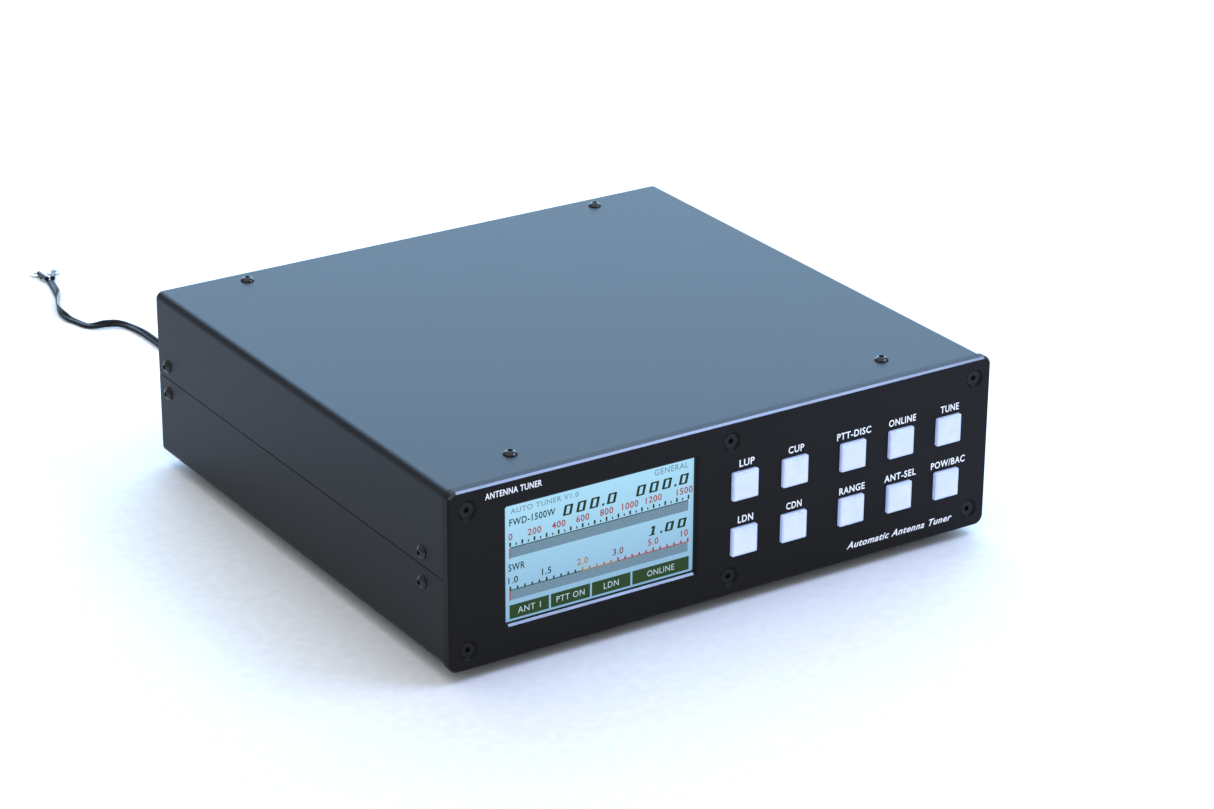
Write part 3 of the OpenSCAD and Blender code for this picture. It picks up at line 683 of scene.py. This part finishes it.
def rounder_heads(axis, outward):
    """A shape for screws along an axis: the domes of their heads made fuller, as pressed heads are."""
    across = [k for k in range(3) if k != axis]

    def shape(form):
        left = set(form.verts)
        while left:
            screw = grown = {left.pop()}
            while grown:
                grown = {edge.other_vert(vert) for vert in grown for edge in vert.link_edges} - screw
                screw |= grown
            left -= screw
            middle = [sum(pick(vert.co[k] for vert in screw) for pick in (min, max)) / 2 for k in across]
            top = max(vert.co[axis] * outward for vert in screw) / MM
            for vert in screw:
                away = math.dist([vert.co[k] for k in across], middle) / MM
                raised = vert.co[axis] * outward / MM - top + HEAD_HEIGHT
                dome = HEAD_HEIGHT - HEAD_BALL + math.sqrt(max(HEAD_BALL ** 2 - away ** 2, 0))
                on_dome = raised > 0.3 and abs(raised - dome) < 0.15
                if on_dome:
                    share = 1 - min(away / HEAD_RADIUS, 1) ** FULLNESS
                    full = HEAD_HEIGHT * share ** (1 / FULLNESS)
                    vert.co[axis] = outward * (top - HEAD_HEIGHT + max(full, raised)) * MM
    return shape


finer("panel_screws_turned", "panel_screws",
      blackened_steel("black_oxide_flat_heads", 1.28, (0.2, 0.3)), 0.2, sharp=28)
for node, shape in (("rear_screws", rounder_heads(1, 1)), ("side_screws", None),
                    ("top_screws", rounder_heads(2, 1)), ("bottom_screws", rounder_heads(2, -1))):
    finer(node + "_turned", node, FINISHES["black_steel"], 0.12, sharp=28, shape=shape)
finer("rubber_feet", "feet", FINISHES["foot_rubber"], 0.5)
finer("foot_screws_turned", "foot_screws", FINISHES["plated_steel"], 0.12, sharp=28)


# ---- display ----

def ink(name, colour):
    """A colour of the display's picture, which glows like the field round it, in spots of 1 mm."""
    rgb = [int(colour[i:i + 2], 16) for i in (1, 3, 5)]
    darker = "#" + "".join(f"{int(c * 0.92):02x}" for c in rgb)
    return lit(name, darker, colour, 1.0, 1.0)


INKS = {
    "grey": ink("display_grey_bar", "#7493a8"),
    "green": ink("display_dark_green", "#1a3316"),
    "box": ink("display_green_box", "#29451f"),
    "red": ink("display_red", "#a8321f"),
    "pink": ink("display_dull_red", "#a43a32"),
    "amber": ink("display_amber", "#b07c18"),
    "brown": ink("display_brown", "#7c4636"),
    "pale": ink("display_pale_words", "#c2dcf0"),
    "faint": ink("display_faint_words", "#7f9fb4"),
}
shapes = {name: ([], []) for name in INKS}


def off_glass(ink_name):
    """How far a colour lies in front of the glass, so that words lie on boxes and marks on bars."""
    return {"grey": 0.03, "box": 0.03, "pale": 0.09}.get(ink_name, 0.06)


def on_screen(ink_name, x, z):
    return (x, GLASS_Y - off_glass(ink_name), PANEL_Z + z)


def patch(ink_name, corners):
    """A flat area of the picture from its corners, anticlockwise seen from the front."""
    points, faces = shapes[ink_name]
    faces.append(tuple(range(len(points), len(points) + len(corners))))
    points += [on_screen(ink_name, x, z) for x, z in corners]


def bar(ink_name, x0, x1, z0, z1):
    patch(ink_name, [(x0, z0), (x1, z0), (x1, z1), (x0, z1)])


def letters(text, cap, width, slant, fatten):
    """Flat words cap high, as points, faces and their width, which is natural where width is None."""
    curve = bpy.data.curves.new("letters", "FONT")
    curve.body = text
    curve.resolution_u = 3
    curve.offset = fatten
    curve.shear = slant
    curve.space_character = 1.1
    text_object = bpy.data.objects.new("letters", curve)
    bpy.context.scene.collection.objects.link(text_object)
    bpy.context.view_layer.update()
    shown = text_object.evaluated_get(bpy.context.evaluated_depsgraph_get())
    mesh = bpy.data.meshes.new_from_object(shown)
    points = [v.co.copy() for v in mesh.vertices]
    faces = [tuple(p.vertices) for p in mesh.polygons]
    bpy.data.objects.remove(text_object)
    left, right = min(p.x for p in points), max(p.x for p in points)
    low, high = min(p.y for p in points), max(p.y for p in points)
    scale_z = cap / (high - low)
    scale_x = width / (right - left) if width else scale_z
    flat = [((p.x - left) * scale_x, (p.y - low) * scale_z) for p in points]
    return flat, faces, (right - left) * scale_x


def write(ink_name, text, x, z, cap, width=None, align=0.0, fatten=0.015):
    """Words on the screen; align is 0 to start at x, 0.5 to centre on it and 1 to end there."""
    flat, new_faces, wide = letters(text, cap, width, 0.0, fatten)
    points, faces = shapes[ink_name]
    base = len(points)
    points += [on_screen(ink_name, x + u - align * wide, z + v) for u, v in flat]
    faces += [tuple(base + k for k in face) for face in new_faces]


LEAN = 0.22


def leaning(ink_name, x, z, corners):
    patch(ink_name, [(x + u + LEAN * v, z + v) for u, v in corners])


def zero(x, z, w, h):
    """A figure 0 of the leaning readout: two thick uprights and two thin bars."""
    thick, thin, outer, inner, inset = 1.5, 0.8, 0.15, 0.5, 0.35
    leaning("green", x, z, [(0, outer), (thick, inner), (thick, h - inner), (0, h - outer)])
    leaning("green", x, z, [(w - thick, inner), (w, outer), (w, h - outer), (w - thick, h - inner)])
    for v in (0, h - thin):
        leaning("green", x, z, [(inset, v), (w - inset, v), (w - inset, v + thin), (inset, v + thin)])


def one(x, z, w, h):
    """A figure 1 of the leaning readout: an upright, a foot and a flag."""
    middle, left, right, flag, foot = w / 2, w / 2 - 0.6, w / 2 + 0.9, w / 2 - 1.8, 1.7
    leaning("green", x, z, [(left, 0), (right, 0), (right, h), (left, h)])
    leaning("green", x, z, [(middle - foot, 0), (middle + foot, 0), (middle + foot, 0.6),
                            (middle - foot, 0.6)])
    leaning("green", x, z, [(flag, h - 1.2), (left, h - 0.9), (left, h), (middle - 1.0, h)])


def readout(x, z, text, w, h, pitch):
    """Leaning figures of 0, 1 and a point, pitch apart."""
    dot_w, dot_h, dot_pitch = 1.3, 1.1, 2.3
    for sign in text:
        if sign == ".":
            leaning("green", x - 0.35, z, [(0, 0), (dot_w, 0), (dot_w, dot_h), (0, dot_h)])
            x += dot_pitch
        else:
            figure = zero if sign == "0" else one
            figure(x, z, w, h)
            x += pitch


SCALE_X0, SCALE_X1 = -124.6, -23.1
SCALE_W = SCALE_X1 - SCALE_X0
POWER_Z, SWR_Z = 56.5, 34.3
SCALE_LINE, SCALE_FIGURES = 0.45, 3.5
FULL_POWER = 1500
SWR_STEP = SCALE_W / 5
# The colours of the lower scale's line, and the steps between which each runs
SWR_COLOURS = (("green", 0, 2), ("amber", 2, 3), ("red", 3, 5))
SWR_MARKS = (("1.0", "green", 0.2), ("1.5", "green", 0.5), ("2.0", "amber", 0.5), ("3.0", "brown", 0.5),
             ("5.0", "pink", 0.5), ("10", "pink", 1.0))


def scale_bar(bottom, top):
    """The grey bar under a scale's line, and the red needle at its left end."""
    bar("grey", SCALE_X0, SCALE_X1, bottom, top)
    bar("red", SCALE_X0 - 0.5, SCALE_X0 + 0.1, bottom - 0.3, top)


def power_scale():
    scale_bar(51.3, POWER_Z)
    bar("green", SCALE_X0, SCALE_X1, POWER_Z, POWER_Z + SCALE_LINE)
    for watts in (0, 200, 400, 600, 800, 1000, 1200, FULL_POWER):
        x = SCALE_X0 + SCALE_W * watts / FULL_POWER
        align = {0: 0.4, FULL_POWER: 0.75}.get(watts, 0.5)
        write("pink", str(watts), x, POWER_Z + 4.2, SCALE_FIGURES, align=align)


def swr_scale():
    scale_bar(29.3, SWR_Z)
    for ink_name, first, last in SWR_COLOURS:
        bar(ink_name, SCALE_X0 + first * SWR_STEP, SCALE_X0 + last * SWR_STEP, SWR_Z, SWR_Z + SCALE_LINE)
    for i, (mark, ink_name, align) in enumerate(SWR_MARKS):
        write(ink_name, mark, SCALE_X0 + i * SWR_STEP, SWR_Z + 3.6, SCALE_FIGURES, align=align)


def tick_row(ink_name, w, h, x, z, step, count, row_step=0.0, rows=1):
    """Marks w wide and h tall, count of them a step apart, in rows that start row_step apart."""
    y = -off_glass(ink_name)
    item = mesh_piece("tick", [(-w / 2, y, 0), (w / 2, y, 0), (w / 2, y, h), (-w / 2, y, h)],
                      [(0, 1, 2, 3)], INKS[ink_name])
    return copies("tick_row", item, INKS[ink_name], (x, GLASS_Y, PANEL_Z + z), (step, 0, 0), count,
                  (row_step, 0, 0), rows)


def ticks():
    """The marks on both scales: every 50 and 100 watts above, tall ones at the figures below."""
    fifty = SCALE_W * 50 / FULL_POWER
    made = [tick_row("green", 1.0, 2.2, SCALE_X0, POWER_Z + 0.9, 2 * fifty, 16),
            tick_row("green", 0.75, 1.2, SCALE_X0 + fifty, POWER_Z + 1.1, 2 * fifty, 15)]
    short = SWR_STEP / 5
    for ink_name, first, last in SWR_COLOURS:
        x, steps = SCALE_X0 + first * SWR_STEP, last - first
        closing = 1 if ink_name == "red" else 0
        made.append(tick_row(ink_name, 0.95, 2.2, x, SWR_Z, SWR_STEP, steps + closing))
        made.append(tick_row(ink_name, 0.9, 1.5, x + short, SWR_Z + 0.3, short, 4, SWR_STEP, steps))
    ride_as(joined("display_ticks", made), "case", "display_screen")


def display_words():
    """The title line, the names of both scales, their readouts and the boxes along the bottom."""
    write("faint", "AUTO TUNER V1.0", -124.3, 74.2, 2.8, width=38.0)
    write("faint", "GENERAL", -23.3, 74.3, 3.3, width=19.8, align=1.0)
    write("green", "FWD-1500W", -125.0, 67.9, 3.7, width=25.6)
    write("green", "SWR", -125.6, 44.4, 3.8, width=9.2)
    readout(-95.3, 66.0, "000.0", 4.9, 5.4, 7.5)
    readout(-53.8, 66.0, "000.0", 4.9, 5.4, 7.5)
    readout(-46.5, 43.1, "1.00", 4.7, 4.8, 7.3)
    boxes = ((-125.1, -103.0, "ANT 1", 12.8), (-101.9, -79.7, "PTT ON", 15.9),
             (-78.6, -56.4, "LDN", 8.6), (-55.3, -22.3, "ONLINE", 15.8))
    for left, right, text, width in boxes:
        bar("box", left, right, 19.3, 26.6)
        write("pale", text, (left + right) / 2, 21.4, 3.2, width=width, align=0.5, fatten=0.0)


finer("display_glass_lit", "display_glass", FINISHES["display_screen"], 0.0)
power_scale()
swr_scale()
display_words()
for name, (points, faces) in shapes.items():
    ride_as(mesh_piece("display_" + name, points, faces, INKS[name]), "case", "display_screen")
ticks()


# ---- lettering on the front panel ----

# White print, with a faint painted glow in its material
PRINT_PAINTED_GLOW = white_print()
INK_HEIGHT = 0.03
# Each button's word, where it starts and ends across the panel, and how high it stands
LABELS = (("LUP", 4.7, 13.7, 68.7), ("CUP", 34.1, 43.5, 68.7), ("PTT-DISC", 63.7, 84.7, 68.7),
          ("ONLINE", 95.9, 112.8, 68.7), ("TUNE", 128.5, 140.1, 68.7), ("LDN", 4.5, 13.6, 38.5),
          ("CDN", 33.6, 43.0, 38.5), ("RANGE", 66.2, 82.0, 38.5), ("ANT-SEL", 94.3, 114.2, 38.5),
          ("POW/BAC", 123.9, 145.6, 38.5))


def printed(name, words, y, facing):
    """Words of white ink on a face at y, as one piece; facing is -1 in front and 1 behind."""
    points, faces = [], []
    for text, x0, x1, z, cap, slant in words:
        flat, new_faces = letters(text, cap, abs(x1 - x0), slant, 0.02)[:2]
        base = len(points)
        points += [(x0 - facing * u, y + facing * INK_HEIGHT, z + v) for u, v in flat]
        faces += [tuple(base + k for k in face) for face in new_faces]
    ride_as(mesh_piece(name, points, faces, PRINT_PAINTED_GLOW), "case", "panel_anodised")


printed("panel_lettering",
        [(text, x0, x1, PANEL_Z + z, 3.8, 0.0) for text, x0, x1, z in LABELS]
        + [("Automatic Antenna Tuner", 72.0, 139.0, PANEL_Z + 7.0, 3.8, 0.35),
           ("ANTENNA TUNER", -139.9, -108.7, PANEL_Z + 86.4, 3.3, 0.0)], FACE_Y, facing=-1)


# ---- buttons ----

LIT = lit("lit_acrylic_diffuser", "#d0e4fb", "#dceafe", 1.0, 5.0, base="#20242c", gloss=0.3)
# Squares from the lit face's edge to its middle: half of each one's width, and its distance from the cap
LIT_SQUARES = ((6.5, 0.02), (6.4, -0.07), (5.4, -0.12), (3.0, -0.14))
LIT_CORNER, CORNER_POINTS = 0.9, 6


def lit_face(button):
    """The lit square inside a clear cap's rim, slightly crowned."""
    low, high = size_mm(button + "_button")
    cx, cz = (low.x + high.x) / 2, (low.z + high.z) / 2
    points, faces = [], []
    for half, y in LIT_SQUARES:
        radius = min(LIT_CORNER, half / 2)
        for quarter in range(4):
            right = (1, -1, -1, 1)[quarter] * (half - radius)
            up = (1, 1, -1, -1)[quarter] * (half - radius)
            for k in range(CORNER_POINTS):
                a = math.radians(90 * quarter + 90 * k / (CORNER_POINTS - 1))
                points.append((cx + right + radius * math.cos(a), low.y + y,
                               cz + up + radius * math.sin(a)))
    ring = 4 * CORNER_POINTS
    last = len(points) - ring
    for a in range(0, last, ring):
        b = a + ring
        faces += [(a + k, a + (k + 1) % ring, b + (k + 1) % ring, b + k) for k in range(ring)]
    faces.append(tuple(last + k for k in range(ring)))
    faces.append(tuple(ring - 1 - k for k in range(ring)))
    return mesh_piece(button + "_lit_face", points, faces, LIT, smooth_over=50)


for button in ("lup", "cup", "ptt", "online", "tune", "ldn", "cdn", "range", "antenna", "power"):
    finer(button + "_cap", button + "_button", FINISHES["button_clear"], 0.15, body=button + "_key")
    ride_as(lit_face(button), button + "_key", "button_clear")


# ---- rear ----

NICKEL = FINISHES["nickel"]


def threaded(name, node, outer, depth, start, pitch, count):
    """A CAD barrel taken down to the bottom of its thread, and the thread's ridges as rows of copies."""
    middle = sum(size_mm(node), Vector()) / 2
    x, z = middle.x, middle.z

    def narrowed(form):
        for vert in form.verts:
            across = Vector((vert.co.x - x * MM, 0, vert.co.z - z * MM))
            on_crest = abs(across.length / MM - outer) < 0.06
            if on_crest:
                vert.co -= across.normalized() * depth * MM

    finer(name, node, NICKEL, 0.1, shape=narrowed, merged=False)
    root, half, crest = outer - depth - 0.05, pitch * 0.46, pitch * 0.1
    ridge = turned_ring([(half, root), (crest, outer), (-crest, outer), (-half, root)], 56)
    item = mesh_piece("ridge", *ridge, NICKEL, smooth_over=40)
    thread = copies(name + "_thread", item, NICKEL, (x, start, z), (0, pitch, 0), count)
    ride_as(thread, "case", SLOTS[node])


# The coaxial sockets' thread, 5/8 inch across with 24 turns to the inch
UHF_PITCH, UHF_RADIUS, UHF_DEPTH = 25.4 / 24, 7.94, 0.55
FLANGE, SMOOTH_END = 1.6, 1.2
for socket in ("rf_input_socket", "antenna_1_socket", "antenna_2_socket"):
    start = REAR_FACE + FLANGE + UHF_PITCH
    turns = int((size_mm(socket)[1].y - SMOOTH_END - start) / UHF_PITCH)
    threaded(socket + "_shell", socket, UHF_RADIUS, UHF_DEPTH, start, UHF_PITCH, turns)
STUD_RADIUS, STUD_DEPTH, STUD_PITCH, STUD_TURNS = 3.0, 0.4, 1.0, 15
threaded("ground_stud_m6", "ground_stud", STUD_RADIUS, STUD_DEPTH, REAR_FACE + STUD_PITCH, STUD_PITCH,
         STUD_TURNS)
finer("ground_nut_hex", "ground_nut", NICKEL, 0.25, merged=False)
finer("wing_nut_cast", "wing_nut", NICKEL, 0.5, body="wing_nut_body")
finer("phono_sockets_turned", "phono_sockets", FINISHES["contact_gold"], 0.2)
finer("socket_inserts", "socket_insulators", FINISHES["white_plastic"], 0.2)
finer("socket_contacts_turned", "socket_contacts", FINISHES["contact_gold"], 0.15)
finer("socket_screws_turned", "socket_screws", FINISHES["plated_steel"], 0.12, sharp=28)
finer("dc_jack_ring", "dc_jack", FINISHES["black_plastic"], 0.3)
printed("rear_lettering",
        [(text, x + w / 2, x - w / 2, z, 3.6, 0.0) for text, x, w, z in
         (("RF IN", 20, 13.5, 75), ("ANT 1", 68, 14, 75), ("ANT 2", 116, 14, 75), ("PTT", -65, 9.5, 68),
          ("GND", -25, 10.5, 40), ("DC IN", -105, 13.5, 36))], REAR_FACE, facing=1)


# ---- what is on the lead ----

def cord_pieces():
    """The plug, the tie and the terminals, which the lead carries."""
    plug = finer("lead_plug", "dc_plug", FINISHES["cord_pvc"], 0.4)
    tie = finer("coil_tie", "cord_tie", FINISHES["tie_plastic"], 0.3)
    ends = finer("ring_terminals", "cord_terminals", FINISHES["terminal_metal"], 0.12)
    ends.data.materials.append(moulded("dark_vinyl_sleeve", "#17171b", "#202026", rough=(0.3, 0.4)))
    lead_end, sleeve_reach, tongue_top = Vector(FAR_ROUTE[-1]) * MM, 12.6 * MM, 0.7 * MM
    for face in ends.data.polygons:
        if (face.center - lead_end).length < sleeve_reach and face.center.z > tongue_top:
            face.material_index = 1
    return [plug, tie, ends]


cord_pieces()
